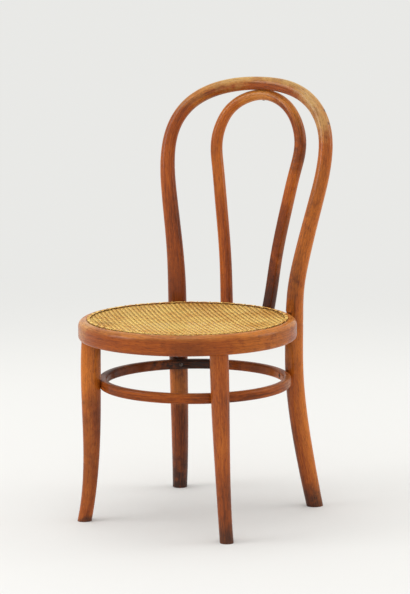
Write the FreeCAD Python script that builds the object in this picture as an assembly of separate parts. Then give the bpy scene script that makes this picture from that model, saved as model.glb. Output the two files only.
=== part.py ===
import FreeCAD, Part
import math
import os

from FreeCAD import Vector

# Bentwood bistro chair with a round, hand-caned seat.
# Millimetres. +Z is up and the floor is Z = 0. The front of the seat faces -Y, and +X is on the right of someone who
# looks at the front. The shapes are laid out round the upright axis of the seat. They are then moved along Y, so that
# the origin lies on the floor in the middle of the space that the chair takes up.

# Heights of the seat's top and of the middle of the foot ring
seat_height = 394.0
stretcher_height = 268.0

# Seat ring
seat_radius = 210.0
seat_ring_depth = 38.0
seat_ring_width = 34.0
seat_top_rounding = 12.5
seat_bottom_rounding = 7.0
seat_inner_rounding = 2.5
seat_rim_width = 17.0
cane_recess_depth = 2.0
seat_bottom = seat_height - seat_ring_depth
seat_inner_radius = seat_radius - seat_ring_width
cane_recess_radius = seat_radius - seat_rim_width

# The bent rods are laid out by stations. A station is an angle round the seat axis from straight back, the distance
# of its centre beyond the seat's rim, its height, and the half sizes or the radius of the rod there.

# Back frame: one rod from the left foot over the crown to the right foot. These are the stations of its right half.
# Of the two half sizes, the first is the width along the back and the second the thickness outwards from the seat.
crown_station = (0.0, 68.0, seat_height + 433.5, 13.1, 13.1)
brow_station = (12.41, 67.0, seat_height + 429.0, 13.6, 13.6)
temple_station = (23.43, 67.9, seat_height + 414.0, 13.7, 13.7)
shoulder_station = (31.66, 72.0, seat_height + 388.5, 13.6, 13.6)
upper_side_station = (37.62, 75.1, seat_height + 346.5, 13.6, 13.5)
widest_station = (40.3, 69.8, seat_height + 296.0, 14.3, 13.8)
side_station = (40.46, 48.9, seat_height + 206.0, 15.6, 14.4)
back_station = (38.83, 24.9, seat_height + 106.0, 16.8, 15.5)
waist_station = (38.24, 13.9, seat_height + 46.0, 18.0, 16.1)
seat_station = (37.99, 10.8, seat_height - 19.0, 18.6, 17.3)
stretcher_station = (37.63, 11.7, stretcher_height, 18.6, 17.9)
shin_station = (36.88, 30.3, 130.0, 17.3, 17.7)
rear_foot_station = (36.63, 57.2, 0.0, 14.9, 16.2)

# Inner hoop: a round rod that hangs under the crown and ends behind the seat ring.
# Its crown lies against the crown of the back frame, which gives its height.
hoop_crown_reach = 74.0
hoop_crown_radius = 10.6
hoop_brow_station = (8.02, 73.3, seat_height + 402.0, 11.0)
hoop_temple_station = (14.33, 72.8, seat_height + 381.0, 11.2)
hoop_shoulder_station = (18.08, 73.5, seat_height + 353.0, 11.5)
hoop_widest_station = (20.21, 70.8, seat_height + 312.5, 12.0)
hoop_lower_side_station = (19.36, 61.5, seat_height + 266.0, 12.1)
hoop_side_station = (17.6, 49.6, seat_height + 206.0, 12.2)
hoop_back_station = (14.15, 30.1, seat_height + 86.0, 12.2)
hoop_low_back_station = (13.28, 24.2, seat_height + 40.0, 12.4)
hoop_end_station = (11.84, 10.7, seat_height - 34.0, 12.8)

# Front legs: the sections are oval, thicker outwards from the seat than across
front_top_station = (128.98, -24.3, seat_bottom, 17.4, 18.6)
front_stretcher_station = (128.47, -22.9, stretcher_height - 8.0, 17.0, 19.0)
front_shin_station = (127.57, -23.0, 160.0, 14.8, 16.6)
front_ankle_station = (126.97, -17.8, 68.0, 13.1, 14.1)
front_foot_station = (126.83, -7.5, 0.0, 12.9, 13.6)
tenon_radius = 11.0
tenon_length = 18.0
leg_block_width = 24.0
leg_block_half_angle = 9.0
leg_block_rounding = 4.0

# Foot ring
stretcher_depth = 19.5
stretcher_thickness = 15.0
stretcher_rounding = 5.0
stretcher_notch = 1.7

# Cane seat: holes at one spacing, two strands to a hole each way and one strand on each diagonal
hole_spacing = 12.7
hole_inset = 3.5
hole_radius = 2.5
hole_drop = 12.0
strand_width = 2.4
strand_thickness = 0.6
strand_pair_spread = 5.8
strand_layers = 4
strand_gap = 0.1
shortest_strand = 30.0
binder_width = 5.6
binder_thickness = 0.8
binder_rounding = 0.2
binder_clearance = 0.4
tie_thickness = 0.5
tie_leg = 0.8
peg_radius = 2.3
peg_length = 8.0
peg_depth = 2.5

# Fasteners
bolt_radius = 3.0
bolt_head_radius = 10.0
bolt_head_height = 4.0
bolt_seat_depth = 4.5
nut_seat_depth = 1.2
bolt_drop = 22.0
bolt_end = 2.0
washer_radius = 8.0
washer_thickness = 1.6
nut_half_width = 5.0
nut_thickness = 5.0
hoop_screw_radius = 2.2
hoop_screw_length = 45.0
hoop_screw_drop = 26.0
crown_screw_length = 36.0
stretcher_screw_radius = 2.1
stretcher_screw_length = 38.0
screw_head_radius = 4.3
screw_head_height = 2.6
screw_point_length = 6.0
screw_slot_width = 1.1
screw_slot_depth = 1.2
screw_seat_depth = 1.0

# Fits
joint_clearance = 0.1
bolt_clearance = 0.2
washer_clearance = 0.3

# Fineness of the bent rods: distance between sections along a rod, and points round a section
rod_section_spacing = 28.0
section_points = 24

# Spare length of a tool that cuts a hole or joins two shapes, a length beyond the whole chair, and the number of
# times that a search halves its interval
overlap = 14.0
reach = 1200.0
halvings = 60

# Values that follow from the ones above
up = Vector(0, 0, 1)
recess_floor = seat_height - cane_recess_depth
hole_circle_radius = cane_recess_radius - hole_inset
hole_count = 2 * round(math.pi * hole_circle_radius / hole_spacing)
layer_rise = strand_thickness + strand_gap
binder_outer_radius = cane_recess_radius - binder_clearance
binder_inner_radius = binder_outer_radius - binder_width
binder_bottom = recess_floor + strand_layers * layer_rise
binder_top = binder_bottom + binder_thickness
crown_centres = crown_station[4] + hoop_crown_radius + joint_clearance
crown_drop = math.sqrt(crown_centres ** 2 - (hoop_crown_reach - crown_station[1]) ** 2)
hoop_crown_station = (0.0, hoop_crown_reach, crown_station[2] - crown_drop, hoop_crown_radius)
origin_y = (hoop_crown_reach + hoop_crown_radius) / 2

os.makedirs("parts", exist_ok=True)


def place(station):
    """Centre of a station."""
    angle = math.radians(station[0])
    distance = seat_radius + station[1]
    return Vector(distance * math.sin(angle), distance * math.cos(angle), station[2])


def half_sizes(station):
    """Half width and half thickness of a station. A round station has one radius for both."""
    return Vector(station[3], station[-1], 0)


def mirrored(points):
    """Points of the left half in reverse order, followed by those of the right half."""
    left = [Vector(-point.x, point.y, point.z) for point in points[:0:-1]]
    return left + points


class Rod:
    """A bent rod: a smooth centre line, and a smooth run of section sizes along it.

    A point of the run of sizes holds half width, half thickness and its own place along the run.
    """

    def __init__(self, places, sizes):
        self.line = Part.BSplineCurve()
        self.line.interpolate(Points=places)
        knots = self.line.getKnots()
        spread = [Vector(size.x, size.y, knot) for size, knot in zip(sizes, knots)]
        self.sizes = Part.BSplineCurve()
        self.sizes.interpolate(Points=spread, Parameters=knots)
        self.first = self.line.FirstParameter
        self.last = self.line.LastParameter

    def at_height(self, height):
        """Centre and half sizes where the right or only leg of the rod passes a height."""
        high = (self.first + self.last) / 2
        if self.line.value(self.first).x > 0:
            high = self.first
        low = self.last
        for _ in range(halvings):
            middle = (high + low) / 2
            if self.line.value(middle).z > height:
                high = middle
            else:
                low = middle
        return self.line.value(low), self.sizes.value(low)

    def section(self, parameter, shift, outward):
        """Points of the closed oval across the rod, moved along the rod's direction by shift."""
        along = self.line.tangent(parameter)[0]
        centre = self.line.value(parameter)
        thick = outward(centre)
        thick = (thick - along * thick.dot(along)).normalize()
        wide = along.cross(thick)
        half = self.sizes.value(parameter)
        points = []
        for i in range(section_points):
            angle = 2 * math.pi * i / section_points
            offset = wide * (half.x * math.cos(angle)) + thick * (half.y * math.sin(angle))
            points.append(centre + along * shift + offset)
        return points + points[:1]

    def solid(self, outward):
        """The whole rod, longer at both ends by one section, which is trimmed off."""
        count = max(4, round(self.line.length() / rod_section_spacing))
        spare = self.line.length() / count
        sections = [self.section(self.first, -spare, outward)]
        for i in range(count + 1):
            parameter = self.first + (self.last - self.first) * i / count
            sections.append(self.section(parameter, 0, outward))
        sections.append(self.section(self.last, spare, outward))
        surface = Part.BSplineSurface()
        surface.interpolate(sections)
        # Rounding can leave a gap of less than a millionth along the seam, so each row of poles is closed exactly
        for row in range(1, surface.NbUPoles + 1):
            surface.setPole(row, surface.NbVPoles, surface.getPole(row, 1))
        side = surface.toShape()
        ends = [Part.Face(Part.Wire([edge])) for edge in side.Edges if edge.isClosed()]
        shell = Part.makeShell([side] + ends)
        shell.sewShape()
        rod = Part.makeSolid(shell)
        if rod.Volume < 0:
            rod.reverse()
        return rod


def between_heights(solid, low, high):
    """The part of a solid that lies between two heights."""
    slab = Part.makeBox(2 * reach, 2 * reach, high - low, Vector(-reach, -reach, low))
    return solid.common(slab).Solids[0]


def upright_cylinder(radius, low, high, centre=Vector(0, 0, 0)):
    return Part.makeCylinder(radius, high - low, Vector(centre.x, centre.y, low))


def rounded_outline(corners):
    """Closed outline in the XZ plane. Each corner is x, z and the radius that rounds it."""
    points = [Vector(x, 0, z) for x, z, rounding in corners]
    edges = []
    starts = []
    ends = []
    arcs = []
    for i, corner in enumerate(corners):
        point = points[i]
        back = (points[i - 1] - point).normalize()
        ahead = (points[(i + 1) % len(points)] - point).normalize()
        rounding = corner[2]
        half_angle = back.getAngle(ahead) / 2
        tangent_length = rounding / math.tan(half_angle)
        starts.append(point + back * tangent_length)
        ends.append(point + ahead * tangent_length)
        bisector = (back + ahead).normalize()
        arcs.append(point + bisector * (rounding / math.sin(half_angle) - rounding))
    for i, corner in enumerate(corners):
        if corner[2] > 0:
            edges.append(Part.Arc(starts[i], arcs[i], ends[i]).toShape())
        edges.append(Part.LineSegment(ends[i], starts[(i + 1) % len(corners)]).toShape())
    return Part.Wire(edges)


def turned(corners, angle=360):
    """Solid of revolution round the seat axis."""
    return Part.Face(rounded_outline(corners)).revolve(Vector(0, 0, 0), up, angle)


def along_axis(shape, start, direction):
    """A shape built at the origin along +Z, moved to start and turned to a direction."""
    shape = shape.copy()
    shape.Placement = FreeCAD.Placement(start, FreeCAD.Rotation(up, direction))
    return shape


def drill(start, direction, radius, length):
    return along_axis(Part.makeCylinder(radius, length), start, direction)


def dome(radius, height):
    """Cap of a ball with a flat underside at Z = 0."""
    ball_radius = (radius * radius + height * height) / (2 * height)
    ball = Part.makeSphere(ball_radius, Vector(0, 0, height - ball_radius))
    return ball.common(Part.makeCylinder(radius, height))


def wood_screw(radius, length):
    """Round-headed screw that points along -Z, with the underside of its head at Z = 0."""
    head = dome(screw_head_radius, screw_head_height)
    slot_floor = screw_head_height - screw_slot_depth
    slot_corner = Vector(-screw_head_radius, -screw_slot_width / 2, slot_floor)
    head = head.cut(Part.makeBox(2 * screw_head_radius, screw_slot_width, screw_slot_depth, slot_corner))
    shank_length = length - screw_point_length
    shank = Part.makeCylinder(radius, shank_length, Vector(0, 0, -shank_length))
    point = Part.makeCone(radius, 0, screw_point_length, Vector(0, 0, -shank_length), -up)
    return head.fuse([shank, point]).removeSplitter()


def carriage_bolt(length):
    """Bolt with a domed head that points along -Z, with the underside of its head at Z = 0."""
    head = dome(bolt_head_radius, bolt_head_height)
    shank = Part.makeCylinder(bolt_radius, length, Vector(0, 0, -length))
    return head.fuse(shank).removeSplitter()


def hexagon_nut():
    """Nut with its lower face at Z = 0."""
    corner_radius = nut_half_width / math.cos(math.pi / 6)
    corners = []
    for i in range(7):
        angle = math.pi * i / 3
        corners.append(Vector(corner_radius * math.cos(angle), corner_radius * math.sin(angle), 0))
    block = Part.Face(Part.makePolygon(corners)).extrude(up * nut_thickness)
    return block.cut(Part.makeCylinder(bolt_radius + joint_clearance, nut_thickness))


def washer():
    """Washer with its lower face at Z = 0."""
    disc = Part.makeCylinder(washer_radius, washer_thickness)
    return disc.cut(Part.makeCylinder(bolt_radius + bolt_clearance, washer_thickness))


def mirror_image(shape):
    return shape.mirror(Vector(0, 0, 0), Vector(1, 0, 0))


def both_sides(shape):
    """A shape and its mirror image, as separate solids."""
    return [shape, mirror_image(shape)]


def save(name, shapes):
    """Move shapes from the seat axis to the chair's own origin and write them as one node."""
    moved = [shape.translated(Vector(0, -origin_y, 0)) for shape in shapes]
    if len(moved) == 1:
        moved[0].exportStep("parts/" + name + ".step")
    else:
        Part.makeCompound(moved).exportStep("parts/" + name + ".step")
    solids = [solid for shape in moved for solid in shape.Solids]
    valid = all(shape.isValid() for shape in moved)
    print(name, "solids", len(solids), "valid", valid, "volume", round(sum(s.Volume for s in solids)))


# Centre lines of the bent pieces
back_stations = [
    crown_station, brow_station, temple_station, shoulder_station, upper_side_station, widest_station,
    side_station, back_station, waist_station, seat_station, stretcher_station, shin_station,
    rear_foot_station,
]
hoop_stations = [
    hoop_crown_station, hoop_brow_station, hoop_temple_station, hoop_shoulder_station, hoop_widest_station,
    hoop_lower_side_station, hoop_side_station, hoop_back_station, hoop_low_back_station, hoop_end_station,
]
front_stations = [
    front_top_station, front_stretcher_station, front_shin_station, front_ankle_station, front_foot_station,
]


def mirrored_rod(stations):
    """Rod through the stations of its right half and their mirror image."""
    sizes = [half_sizes(station) for station in stations]
    return Rod(mirrored([place(station) for station in stations]), sizes[:0:-1] + sizes)


back_rod = mirrored_rod(back_stations)
hoop_rod = mirrored_rod(hoop_stations)
front_rod = Rod([place(station) for station in front_stations], [half_sizes(station) for station in front_stations])


def outward_from_seat(centre):
    """Direction that points away from the seat on both sides and swings smoothly across the crown."""
    return Vector(centre.x, place(seat_station).y, 0)


def outward_from_axis(centre):
    """Direction that points straight away from the seat axis."""
    return Vector(centre.x, centre.y, 0)


# Where the foot ring meets the legs: its centre lies where it comes as near to the front as to the rear legs
front_at_stretcher, front_sizes = front_rod.at_height(stretcher_height)
rear_at_stretcher, rear_sizes = back_rod.at_height(stretcher_height)


def stretcher_reach(leg, thickness, centre_y):
    """Distance from a point on the chair's middle line to the near face of a leg."""
    return math.hypot(leg.x, leg.y - centre_y) - thickness


def stretcher_middle():
    low = front_at_stretcher.y
    high = rear_at_stretcher.y
    for _ in range(halvings):
        middle = (low + high) / 2
        front_reach = stretcher_reach(front_at_stretcher, front_sizes.y, middle)
        rear_reach = stretcher_reach(rear_at_stretcher, rear_sizes.y, middle)
        if front_reach < rear_reach:
            low = middle
        else:
            high = middle
    return low


stretcher_y = stretcher_middle()
stretcher_radius = stretcher_reach(front_at_stretcher, front_sizes.y, stretcher_y) + stretcher_notch
stretcher_centre = Vector(0, stretcher_y, 0)


def away_from(centre, point):
    """Level unit vector from a centre to a point."""
    return Vector(point.x - centre.x, point.y - centre.y, 0).normalize()


# Bolts through the rear posts and the seat ring
bolt_height = seat_height - bolt_drop
post_at_bolt, post_sizes = back_rod.at_height(bolt_height)
bolt_direction = away_from(Vector(0, 0, 0), post_at_bolt)
post_face = math.hypot(post_at_bolt.x, post_at_bolt.y) + post_sizes.y
bolt_seat_radius = post_face - bolt_seat_depth
nut_seat_radius = seat_inner_radius + nut_seat_depth
bolt_length = bolt_seat_radius - nut_seat_radius + washer_thickness + nut_thickness + bolt_end


def on_bolt(distance):
    """Point on the right-hand bolt's axis, at a distance from the seat axis."""
    return bolt_direction * distance + up * bolt_height


bolt_hole = drill(on_bolt(0), bolt_direction, bolt_radius + bolt_clearance, reach)
bolt_head_seat = drill(on_bolt(bolt_seat_radius), bolt_direction, bolt_head_radius + washer_clearance, reach)
nut_seat = drill(on_bolt(0), bolt_direction, washer_radius + washer_clearance, nut_seat_radius)

# Screws through the ends of the inner hoop
hoop_screw_height = seat_height - hoop_screw_drop
hoop_at_screw, hoop_sizes = hoop_rod.at_height(hoop_screw_height)
hoop_screw_direction = away_from(Vector(0, 0, 0), hoop_at_screw)
hoop_face = math.hypot(hoop_at_screw.x, hoop_at_screw.y) + hoop_sizes.y
hoop_screw_seat = hoop_screw_direction * (hoop_face - screw_seat_depth) + up * hoop_screw_height

# Screw through both crowns
crown_point = place(crown_station)
hoop_crown_point = place(hoop_crown_station)
crown_direction = (crown_point - hoop_crown_point).normalize()
crown_screw_seat = hoop_crown_point - crown_direction * (hoop_crown_radius - screw_seat_depth)


def screw_hole(seat, direction, radius, length):
    """Room for a screw that goes in from its seat along a direction, and for its head."""
    shank = drill(seat, direction, radius + joint_clearance, length + joint_clearance)
    head = drill(seat, direction * -1, screw_head_radius + washer_clearance, screw_head_height + overlap)
    return shank.fuse(head)


hoop_screw_hole = screw_hole(hoop_screw_seat, hoop_screw_direction * -1, hoop_screw_radius, hoop_screw_length)
crown_screw_hole = screw_hole(crown_screw_seat, crown_direction, hoop_screw_radius, crown_screw_length)

# Screws through the foot ring, from the inside outwards
stretcher_inner_radius = stretcher_radius - stretcher_thickness


def stretcher_screw_seat(leg):
    """Point under the head of the screw that goes into a leg, and the screw's direction."""
    direction = away_from(stretcher_centre, leg)
    distance = stretcher_inner_radius + screw_seat_depth
    return stretcher_centre + direction * distance + up * stretcher_height, direction


stretcher_screw_hole = {}
stretcher_screws = []
for side, leg in (("front", front_at_stretcher), ("rear", rear_at_stretcher)):
    seat, direction = stretcher_screw_seat(leg)
    stretcher_screw_hole[side] = screw_hole(seat, direction, stretcher_screw_radius, stretcher_screw_length)
    screw = wood_screw(stretcher_screw_radius, stretcher_screw_length)
    stretcher_screws += both_sides(along_axis(screw, seat, direction * -1))

# Space that the foot ring takes out of the legs, and the seat ring out of the posts and the hoop's ends
stretcher_low = stretcher_height - stretcher_depth / 2
stretcher_high = stretcher_height + stretcher_depth / 2
stretcher_space = upright_cylinder(
    stretcher_radius + joint_clearance,
    stretcher_low - joint_clearance,
    stretcher_high + joint_clearance,
    stretcher_centre,
)
seat_space = upright_cylinder(
    seat_radius + joint_clearance, seat_bottom - joint_clearance, seat_height + joint_clearance
)


def make_back_frame():
    """Rear legs and back hoop in one rod, flat where it lies against the rings."""
    frame = between_heights(back_rod.solid(outward_from_seat), 0, reach)
    cuts = [seat_space, stretcher_space, crown_screw_hole]
    for shape in (bolt_hole, bolt_head_seat, stretcher_screw_hole["rear"]):
        cuts += both_sides(shape)
    for shape in cuts:
        frame = frame.cut(shape)
    return frame.Solids[0]


def make_inner_hoop():
    """Inner hoop, with its ends cut to lie behind the seat ring."""
    hoop = between_heights(hoop_rod.solid(outward_from_seat), hoop_end_station[2], reach)
    cuts = [seat_space, crown_screw_hole]
    cuts += both_sides(hoop_screw_hole)
    for shape in cuts:
        hoop = hoop.cut(shape)
    return hoop.Solids[0]


def cane_hole_axis(index):
    """Mouth, direction and length of a hole that slants from the recess to the inner face of the ring."""
    angle = 2 * math.pi * (index + 0.5) / hole_count
    level = Vector(math.cos(angle), math.sin(angle), 0)
    mouth = level * hole_circle_radius + up * recess_floor
    foot = level * seat_inner_radius + up * (recess_floor - hole_drop)
    length = (foot - mouth).Length
    return mouth, (foot - mouth).normalize(), length


leg_top = front_rod.at_height(seat_bottom)[0]
tenon_room = upright_cylinder(
    tenon_radius + joint_clearance, seat_bottom - joint_clearance, seat_bottom + tenon_length + joint_clearance, leg_top
)


def make_seat_ring():
    """Ring with its cane recess, cane holes, leg sockets and holes for the fasteners."""
    ring = turned([
        (seat_inner_radius, seat_bottom, seat_inner_rounding),
        (seat_radius, seat_bottom, seat_bottom_rounding),
        (seat_radius, seat_height, seat_top_rounding),
        (cane_recess_radius, seat_height, cane_recess_depth / 2),
        (cane_recess_radius, recess_floor, 0),
        (seat_inner_radius, recess_floor, seat_inner_rounding),
    ])
    cuts = []
    for i in range(hole_count):
        mouth, direction, length = cane_hole_axis(i)
        cuts.append(drill(mouth - direction * overlap, direction, hole_radius, length + 2 * overlap))
    for shape in (tenon_room, bolt_hole, nut_seat, hoop_screw_hole):
        cuts += both_sides(shape)
    return ring.cut(cuts).Solids[0]


def make_front_leg():
    """Right front leg with its tenon."""
    leg = between_heights(front_rod.solid(outward_from_axis), 0, seat_bottom - joint_clearance)
    tenon = upright_cylinder(tenon_radius, seat_bottom - overlap, seat_bottom + tenon_length, leg_top)
    leg = leg.fuse(tenon).removeSplitter()
    return leg.cut([stretcher_space, stretcher_screw_hole["front"]]).Solids[0]


def make_leg_block():
    """Right block inside the seat ring, over the front leg."""
    outer = seat_inner_radius - joint_clearance
    top = seat_bottom + tenon_length
    block = turned([
        (outer - leg_block_width, seat_bottom, 0),
        (outer, seat_bottom, 0),
        (outer, top, 0),
        (outer - leg_block_width, top, 0),
    ], 2 * leg_block_half_angle)
    inner_corners = []
    for edge in block.Edges:
        upright = abs(edge.tangentAt(edge.FirstParameter).z) > 0.99
        inside = math.hypot(edge.CenterOfMass.x, edge.CenterOfMass.y) < outer - leg_block_width / 2
        if upright and inside:
            inner_corners.append(edge)
    block = block.makeFillet(leg_block_rounding, inner_corners)
    leg_angle = math.degrees(math.atan2(leg_top.y, leg_top.x))
    block.rotate(Vector(0, 0, 0), up, leg_angle - leg_block_half_angle)
    return block.cut(tenon_room).Solids[0]


def make_foot_ring():
    ring = turned([
        (stretcher_inner_radius, stretcher_low, stretcher_rounding),
        (stretcher_radius, stretcher_low, stretcher_rounding),
        (stretcher_radius, stretcher_high, stretcher_rounding),
        (stretcher_inner_radius, stretcher_high, stretcher_rounding),
    ]).translated(stretcher_centre)
    cuts = both_sides(stretcher_screw_hole["front"]) + both_sides(stretcher_screw_hole["rear"])
    return ring.cut(cuts).Solids[0]


def strand(offset, angle, layer):
    """Flat strand of cane across the seat, at an offset from its middle line."""
    half_length = math.sqrt(hole_circle_radius ** 2 - offset ** 2)
    bottom = recess_floor + strand_gap / 2 + layer * layer_rise
    corner = Vector(-half_length, offset - strand_width / 2, bottom)
    strip = Part.makeBox(2 * half_length, strand_width, strand_thickness, corner)
    strip.rotate(Vector(0, 0, 0), up, angle)
    return strip


def strands(spacing, spread, angle, layer):
    """All strands of one direction. A spread of 0 gives single strands, any other gives pairs."""
    limit = math.sqrt(hole_circle_radius ** 2 - (shortest_strand / 2) ** 2)
    rows = math.floor(limit / spacing)
    sides = (-spread / 2, spread / 2) if spread > 0 else (0,)
    found = []
    for row in range(-rows, rows + 1):
        for side in sides:
            offset = row * spacing + side
            if abs(offset) < limit:
                found.append(strand(offset, angle, layer))
    return found


def make_binder():
    return turned([
        (binder_inner_radius, binder_bottom, binder_rounding),
        (binder_outer_radius, binder_bottom, binder_rounding),
        (binder_outer_radius, binder_top, binder_rounding),
        (binder_inner_radius, binder_top, binder_rounding),
    ])


def make_tie(index):
    """Loop of cane over the binder, at every second hole."""
    inner = binder_inner_radius - joint_clearance - tie_leg
    outer = cane_recess_radius + tie_leg
    top = binder_top + joint_clearance / 2
    half = strand_width / 2
    bridge = Part.makeBox(outer - inner, strand_width, tie_thickness, Vector(inner, -half, top))
    inner_leg = Part.makeBox(tie_leg, strand_width, top - binder_bottom, Vector(inner, -half, binder_bottom))
    outer_foot = seat_height + joint_clearance / 2
    outer_leg = Part.makeBox(tie_leg, strand_width, top - outer_foot, Vector(outer - tie_leg, -half, outer_foot))
    tie = bridge.fuse([inner_leg, outer_leg]).removeSplitter()
    tie.rotate(Vector(0, 0, 0), up, 360 * (index + 0.5) / hole_count)
    return tie


def make_peg(index):
    """Peg that jams the strands in every second hole."""
    mouth, direction, _ = cane_hole_axis(index)
    return drill(mouth + direction * peg_depth, direction, peg_radius, peg_length)


# Pieces of the back, the seat ring and the legs
save("back_frame", [make_back_frame()])
save("inner_hoop", [make_inner_hoop()])
save("seat_ring", [make_seat_ring()])
front_leg = make_front_leg()
save("front_leg_right", [front_leg])
save("front_leg_left", [mirror_image(front_leg)])
leg_block = make_leg_block()
save("leg_block_right", [leg_block])
save("leg_block_left", [mirror_image(leg_block)])
save("foot_ring", [make_foot_ring()])

# Fasteners
post_bolt = along_axis(carriage_bolt(bolt_length), on_bolt(bolt_seat_radius), bolt_direction)
save("post_bolts", both_sides(post_bolt))
bolt_washer = along_axis(washer(), on_bolt(nut_seat_radius), bolt_direction * -1)
save("post_bolt_washers", both_sides(bolt_washer))
bolt_nut = along_axis(hexagon_nut(), on_bolt(nut_seat_radius - washer_thickness), bolt_direction * -1)
save("post_bolt_nuts", both_sides(bolt_nut))
hoop_screw = along_axis(wood_screw(hoop_screw_radius, hoop_screw_length), hoop_screw_seat, hoop_screw_direction)
save("inner_hoop_screws", both_sides(hoop_screw))
crown_screw = wood_screw(hoop_screw_radius, crown_screw_length)
save("crown_screw", [along_axis(crown_screw, crown_screw_seat, crown_direction * -1)])
save("foot_ring_screws", stretcher_screws)

# Cane seat
diagonal_spacing = hole_spacing / math.sqrt(2)
save("cane_front_to_back", strands(hole_spacing, strand_pair_spread, 90, 0))
save("cane_side_to_side", strands(hole_spacing, strand_pair_spread, 0, 1))
save("cane_diagonal_left", strands(diagonal_spacing, 0, 135, 2))
save("cane_diagonal_right", strands(diagonal_spacing, 0, 45, 3))
save("cane_binder", [make_binder()])
save("cane_ties", [make_tie(i) for i in range(0, hole_count, 2)])
save("cane_pegs", [make_peg(i) for i in range(1, hole_count, 2)])
print("foot ring centre from seat axis", round(stretcher_y, 2), "radius", round(stretcher_radius, 2))
print("seat axis to origin", round(origin_y, 3), "holes", hole_count)
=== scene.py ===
import math

import bpy
import numpy as np
from bpy.props import FloatProperty, FloatVectorProperty, IntProperty, PointerProperty
from mathutils import Matrix, Vector


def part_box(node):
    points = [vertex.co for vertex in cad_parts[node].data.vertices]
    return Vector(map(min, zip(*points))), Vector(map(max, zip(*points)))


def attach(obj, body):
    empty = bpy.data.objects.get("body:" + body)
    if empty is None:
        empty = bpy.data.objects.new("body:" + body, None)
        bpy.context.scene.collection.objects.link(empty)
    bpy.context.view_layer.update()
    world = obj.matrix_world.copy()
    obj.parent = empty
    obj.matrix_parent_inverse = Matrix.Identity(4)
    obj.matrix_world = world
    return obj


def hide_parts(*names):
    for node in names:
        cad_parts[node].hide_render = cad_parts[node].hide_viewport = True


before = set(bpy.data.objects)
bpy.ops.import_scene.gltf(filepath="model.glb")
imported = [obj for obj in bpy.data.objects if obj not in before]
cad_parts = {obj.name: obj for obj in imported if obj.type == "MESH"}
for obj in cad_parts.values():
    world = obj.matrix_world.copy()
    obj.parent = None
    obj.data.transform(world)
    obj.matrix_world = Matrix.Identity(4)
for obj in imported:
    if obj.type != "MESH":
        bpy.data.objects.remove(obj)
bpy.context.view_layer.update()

bl_info = {
    "name": "Bentwood chair",
    "version": (1, 0, 0),
    "blender": (4, 5, 0),
    "location": "3D View > Sidebar > Chair",
    "description": "Dresses the frame of a bentwood chair: bent rods, rings, woven cane, screws and studio",
    "category": "Object",
}

# The upright axis of the seat, and the lines that the bent rods follow, in metres in the row frame
SEAT_Y = -0.0423
BACK_LINE = (
    (0.0, 0.2357, 0.8275), (0.0595, 0.2282, 0.823), (0.1105, 0.2127, 0.808), (0.148, 0.1977, 0.7825),
    (0.174, 0.1835, 0.7405), (0.181, 0.1711, 0.69), (0.168, 0.1547, 0.6), (0.1473, 0.1407, 0.5),
    (0.1386, 0.1336, 0.44), (0.1359, 0.1317, 0.375), (0.1354, 0.1333, 0.268), (0.1442, 0.1499, 0.13),
    (0.1594, 0.1721, 0.0),
)
HOOP_LINE = (
    (0.0, 0.2417, 0.8045), (0.0395, 0.2382, 0.796), (0.07, 0.2317, 0.775), (0.088, 0.2272, 0.747),
    (0.097, 0.2212, 0.7065), (0.09, 0.2138, 0.66), (0.0785, 0.2051, 0.6), (0.0587, 0.1905, 0.48),
    (0.0538, 0.1856, 0.434), (0.0453, 0.1737, 0.36),
)
FRONT_LEG_LINE = (
    (0.1443, -0.1591, 0.356), (0.1465, -0.1587, 0.26), (0.1482, -0.1563, 0.16), (0.1536, -0.1579, 0.068),
    (0.1621, -0.1637, 0.0),
)
LINE_SAMPLES = 500
# The outside of a bend looks away from the middle plane and, by this much, to the rear
OUTSIDE_REARWARD = 0.18
POINTS_AT_ONCE = 4000
MERGE_DISTANCE = 1e-6
ROD_SMOOTH_ANGLE = math.radians(35)
STRIP_SMOOTH_ANGLE = math.radians(50)

# Middle lines of the two rings, along which their grain runs
SEAT_RING_RADIUS = 0.2
SEAT_RING_HEIGHT = 0.375
FOOT_RING_RADIUS = 0.178

# Levels of the weave, in thicknesses of a strand
LOWEST_LEVEL = 0.6
LEVEL_RISE = 1.12
DIAGONAL_DIP = 0.3
# Room that the strands keep at the rim, and how far their ends dip into the holes, in metres
BEND_ROOM = 0.001
RIM_ROOM = 0.0006
DIAGONAL_RIM_ROOM = 0.003
END_DIP = 0.0002
DIAGONAL_END_DIP = 0.0006
# The binder rises in a wave between its ties
BINDER_WAVE = 0.0004
BINDER_LIFT = 0.0002
BINDER_POINTS_PER_TIE = 6

# Tones of patches and of upward faces: wear, marks, painted light and painted shade. The first four are among the
# user's colours
USER_TONES = ("wear_and_sheen", "grime_and_shade", "umber", "amber")
WOOD_TONES = {"grey": (0.46, 0.235, 0.105), "olive": (0.57, 0.34, 0.105), "gold": (0.70, 0.285, 0.060)}
CANE_TONES = {"honey": (0.62, 0.30, 0.05), "lemon": (0.80, 0.56, 0.16), "umber": (0.20, 0.085, 0.025)}
# Painted highlight at the rims of the wood, where it is seen at a low angle
RIM_HIGHLIGHT_TINT = (1.5, 1.75, 1.9)
RUST_COLOUR = (0.09, 0.045, 0.025)
BOLT_TINT = (0.20, 0.18, 0.17)
SCREW_TINT = (0.16, 0.14, 0.13)
# A patch is (kind, centre, size, softness, raggedness, strength). Its kind names its tone
CANE_PATCHES = (
    ("honey", (-0.06, 0.12, 0.392), 0.07, 0.8, 0.35, 0.75),
    ("honey", (0.09, 0.10, 0.392), 0.06, 0.9, 0.35, 0.6),
    ("honey", (0.14, -0.02, 0.392), 0.05, 0.9, 0.4, 0.5),
    ("lemon", (-0.01, -0.10, 0.392), 0.08, 0.9, 0.3, 0.6),
    ("lemon", (-0.14, -0.04, 0.392), 0.05, 0.9, 0.3, 0.5),
    ("umber", (-0.11, -0.15, 0.392), 0.03, 0.9, 0.5, 0.4),
)

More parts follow.
